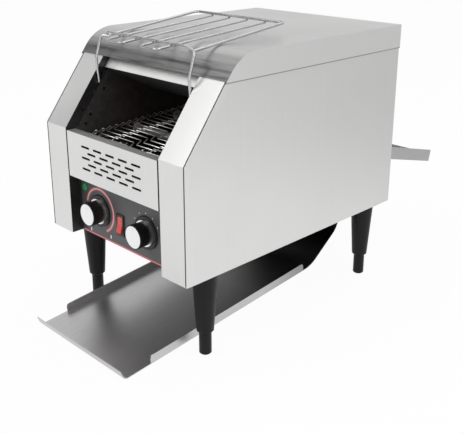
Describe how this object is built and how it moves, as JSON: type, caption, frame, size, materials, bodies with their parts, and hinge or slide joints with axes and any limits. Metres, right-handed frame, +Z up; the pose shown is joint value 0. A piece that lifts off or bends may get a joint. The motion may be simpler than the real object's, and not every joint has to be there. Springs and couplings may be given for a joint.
{
  "type": "conveyor toaster",
  "caption": "Countertop conveyor toaster on four legs: a wire belt carries bread between quartz heaters and a bent slide returns the toast to the front.",
  "frame": {"origin": "on the floor, under the middle of the object's whole reach from the slide's front lip to the rear tray's end", "axes": "+Z up, +X to the right of someone who faces the controls, +Y from the front to the rear"},
  "size_m": [0.285, 0.684, 0.4049],
  "materials": {
    "case_steel": "brushed, satin",
    "cover_steel": "brushed, bright",
    "rail_steel": "brushed, satin",
    "hot_steel": "heat stained",
    "inner_steel": "plain mill",
    "slide_steel": "bright rolled",
    "shield_black": "matt black, heat proof",
    "control_grey": "satin dark grey",
    "overlay_print": "printed film, satin",
    "belt_wire": "bright wire",
    "shaft_steel": "turned",
    "bush_brass": "turned",
    "chain_steel": "oiled",
    "motor_zinc": "zinc plated",
    "quartz": "milky quartz",
    "ceramic": "unglazed ceramic",
    "reflector_bright": "polished",
    "knob_black": "satin black",
    "knob_bright": "spun bright",
    "control_black": "moulded black",
    "rocker_red": "gloss red",
    "pilot_green": "clear green",
    "leg_black": "moulded black, fine grain",
    "plate_black": "black",
    "rack_chrome": "chromed wire",
    "fan_black": "moulded black",
    "board_green": "lacquered board",
    "terminal_cream": "moulded cream",
    "fastener_zinc": "zinc plated"
  },
  "bodies": {
    "case": {"top_cover": "cover_steel", "right_side_panel": "case_steel", "left_side_panel": "case_steel", "rear_panel": "case_steel", "base_plate": "inner_steel", "right_front_post": "case_steel", "left_front_post": "case_steel", "right_inner_wall": "hot_steel", "left_inner_wall": "hot_steel", "opening_top_rail": "rail_steel", "upper_heat_shield": "shield_black", "front_vent_panel": "case_steel", "control_panel": "control_grey", "control_overlay": "overlay_print", "conveyor_belt": "belt_wire", "shaft_bushes": "bush_brass", "drive_chain": "chain_steel", "gearmotor": "motor_zinc", "quartz_heaters": "quartz", "heater_holders": "ceramic", "upper_reflector": "reflector_bright", "crumb_shield": "hot_steel", "knob_controls": "control_black", "switch_housing": "control_black", "pilot_lens": "pilot_green", "pilot_body": "control_black", "inner_rails": "inner_steel", "leg_plates": "plate_black", "fan_housing": "fan_black", "fan_guard": "fastener_zinc", "cable_gland": "control_black", "control_board": "board_green", "terminal_block": "terminal_cream", "case_fasteners": "fastener_zinc", "front_left_leg": "leg_black", "rear_left_leg": "leg_black", "front_right_leg": "leg_black", "rear_right_leg": "leg_black"},
    "idler": {"idler_shaft": "shaft_steel", "idler_sprockets": "shaft_steel"},
    "drive": {"drive_shaft": "shaft_steel", "drive_sprockets": "shaft_steel", "shaft_chain_sprocket": "chain_steel"},
    "motor_output": {"motor_shaft": "shaft_steel", "motor_chain_sprocket": "chain_steel"},
    "speed_dial": {"speed_knob": "knob_black", "speed_knob_trim": "knob_bright", "speed_spindle": "shaft_steel"},
    "mode_dial": {"mode_knob": "knob_black", "mode_knob_trim": "knob_bright", "mode_spindle": "shaft_steel"},
    "power_rocker": {"switch_rocker": "rocker_red"},
    "fan": {"fan_rotor": "fan_black"},
    "slide": {"toast_slide": "slide_steel"},
    "tray": {"rear_tray": "slide_steel"},
    "rack": {"bread_rack": "rack_chrome"},
    "front_left_leveller": {"front_left_foot": "leg_black"},
    "rear_left_leveller": {"rear_left_foot": "leg_black"},
    "front_right_leveller": {"front_right_foot": "leg_black"},
    "rear_right_leveller": {"rear_right_foot": "leg_black"}
  },
  "joints": [
    {"name": "drive_spin", "type": "hinge", "parent": "case", "child": "drive", "pos_m": [0, 0.06796, 0.25946], "axis": [1, 0, 0], "continuous": true},
    {"name": "idler_spin", "type": "hinge", "parent": "case", "child": "idler", "pos_m": [0, -0.238, 0.243], "axis": [1, 0, 0], "continuous": true},
    {"name": "motor_spin", "type": "hinge", "parent": "case", "child": "motor_output", "pos_m": [0, -0.0261, 0.15999], "axis": [1, 0, 0], "continuous": true},
    {"name": "speed_turn", "type": "hinge", "parent": "case", "child": "speed_dial", "pos_m": [-0.052, -0.266, 0.1585], "axis": [0, -1, 0], "range_deg": [-135, 135]},
    {"name": "mode_turn", "type": "hinge", "parent": "case", "child": "mode_dial", "pos_m": [0.046, -0.266, 0.1565], "axis": [0, -1, 0], "range_deg": [-60, 60]},
    {"name": "power_rock", "type": "hinge", "parent": "case", "child": "power_rocker", "pos_m": [-0.007, -0.2559, 0.151], "axis": [1, 0, 0], "range_deg": [0, 18]},
    {"name": "fan_spin", "type": "hinge", "parent": "case", "child": "fan", "pos_m": [0.032, -0.194, 0.13], "axis": [0, 0, 1], "continuous": true},
    {"name": "slide_pull", "type": "slide", "parent": "case", "child": "slide", "axis": [0, -1, 0], "range_m": [0, 0.06]},
    {"name": "tray_push", "type": "slide", "parent": "case", "child": "tray", "axis": [0, 0.969, -0.247], "range_m": [-0.055, 0]},
    {"name": "rack_swing", "type": "hinge", "parent": "case", "child": "rack", "pos_m": [0, -0.2187, 0.322], "axis": [1, 0, 0], "range_deg": [0, 69]},
    {"name": "front_left_level", "type": "hinge", "parent": "case", "child": "front_left_leveller", "pos_m": [-0.1173, -0.2235, 0.02], "axis": [0, 0, 1], "continuous": true},
    {"name": "rear_left_level", "type": "hinge", "parent": "case", "child": "rear_left_leveller", "pos_m": [-0.1173, 0.1079, 0.02], "axis": [0, 0, 1], "continuous": true},
    {"name": "front_right_level", "type": "hinge", "parent": "case", "child": "front_right_leveller", "pos_m": [0.1173, -0.2235, 0.02], "axis": [0, 0, 1], "continuous": true},
    {"name": "rear_right_level", "type": "hinge", "parent": "case", "child": "rear_right_leveller", "pos_m": [0.1173, 0.1079, 0.02], "axis": [0, 0, 1], "continuous": true}
  ],
  "couplings": [
    {"joint": "idler_spin", "follows": "drive_spin", "ratio": 1},
    {"joint": "motor_spin", "follows": "drive_spin", "ratio": 1}
  ]
}
